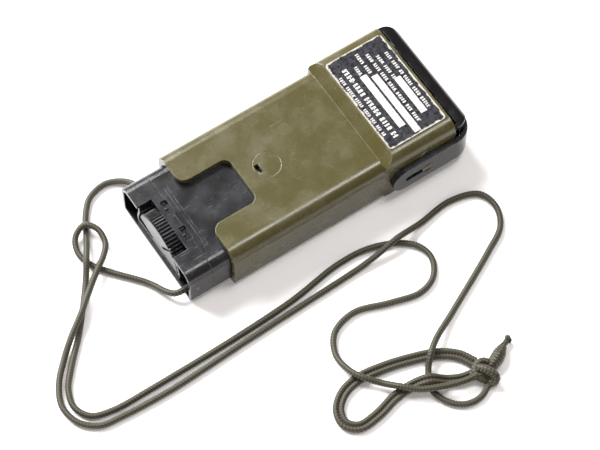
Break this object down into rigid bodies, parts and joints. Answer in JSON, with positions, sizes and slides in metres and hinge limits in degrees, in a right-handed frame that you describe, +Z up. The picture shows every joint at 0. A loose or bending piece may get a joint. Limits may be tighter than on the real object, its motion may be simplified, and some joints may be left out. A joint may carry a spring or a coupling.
{
  "type": "distress marker strobe light",
  "caption": "Pocket distress strobe light with a sliding guard sleeve, swing-down dark filter on a slotted frame, thumb knob in its battery cap, and a braided cord lanyard.",
  "frame": {"origin": "under the middle of the light's length and width, on the flat back that it lies on", "axes": "+Y from the battery cap to the lamp, +Z up out of the label face, +X to the right seen from the cap with the label up"},
  "size_m": [0.1408, 0.1722, 0.0235],
  "materials": {
    "black_shell": "satin, scuffed",
    "black_knob": "satin, moulded teeth",
    "olive_shell": "satin, scratched",
    "dark_filter": "polished",
    "blue_plastic": "clear blue",
    "clear_lens": "clear",
    "clear_glass": "clear",
    "glass_tube": "clear",
    "label_foil": "printed foil, worn edges",
    "spring_steel": "bright",
    "contact_brass": "bright",
    "reflector_foil": "polished",
    "seal_rubber": "smooth",
    "inner_plastic": "moulded",
    "board_laminate": "solder mask",
    "cell_sleeve": "shrunk sleeve",
    "dry_cell": "printed sleeve",
    "olive_braid": "braided nylon",
    "fused_nylon": "melted"
  },
  "bodies": {
    "housing": {"housing": "black_shell", "cell_left": "dry_cell", "cell_right": "dry_cell", "cell_contacts": "contact_brass", "contact_bulkhead": "inner_plastic", "circuit_board": "board_laminate", "board_screws": "spring_steel", "flash_capacitor": "cell_sleeve", "inverter_transformer": "inner_plastic", "trigger_coil": "inner_plastic", "timer_chip": "inner_plastic", "driver_transistor": "inner_plastic", "flash_tube": "clear_glass", "tube_end_caps": "spring_steel", "reflector": "reflector_foil", "lens_gasket": "seal_rubber", "clear_lens": "clear_lens", "reed_switch": "glass_tube", "detent_spring": "spring_steel", "detent_rivets": "contact_brass"},
    "sleeve": {"sleeve_upper": "olive_shell", "sleeve_lower": "olive_shell", "blue_filter": "blue_plastic", "label_plate": "label_foil"},
    "pivot": {"pivot_pin_left": "olive_shell", "pivot_pin_right": "olive_shell"},
    "filter": {"filter_frame": "black_shell", "infrared_filter": "dark_filter", "filter_screws": "spring_steel"},
    "cap": {"end_cap": "black_shell", "cap_gasket": "seal_rubber", "cell_springs": "spring_steel", "lanyard_inside": "olive_braid", "lanyard_left": "olive_braid", "lanyard_right": "olive_braid", "lanyard_loop": "olive_braid", "lanyard_knot": "olive_braid", "lanyard_tail": "olive_braid", "lanyard_fused_end": "fused_nylon"},
    "knob": {"switch_knob": "black_knob", "knob_clip": "spring_steel", "switch_magnet": "spring_steel"}
  },
  "joints": [
    {"name": "sleeve_slide", "type": "slide", "parent": "housing", "child": "sleeve", "axis": [0, 1, 0], "range_m": [0, 0.025]},
    {"name": "filter_swing", "type": "hinge", "parent": "sleeve", "child": "pivot", "pos_m": [0, 0.0369, 0.01], "axis": [-1, 0, 0], "range_deg": [0, 105]},
    {"name": "filter_slide", "type": "slide", "parent": "pivot", "child": "filter", "axis": [0, 1, 0], "range_m": [0, 0.0066]},
    {"name": "cap_slide", "type": "slide", "parent": "housing", "child": "cap", "axis": [0, -1, 0], "range_m": [0, 0.014]},
    {"name": "knob_turn", "type": "hinge", "parent": "cap", "child": "knob", "pos_m": [0, -0.0545, 0.0066], "axis": [0, -1, 0], "range_deg": [0, 16]}
  ]
}
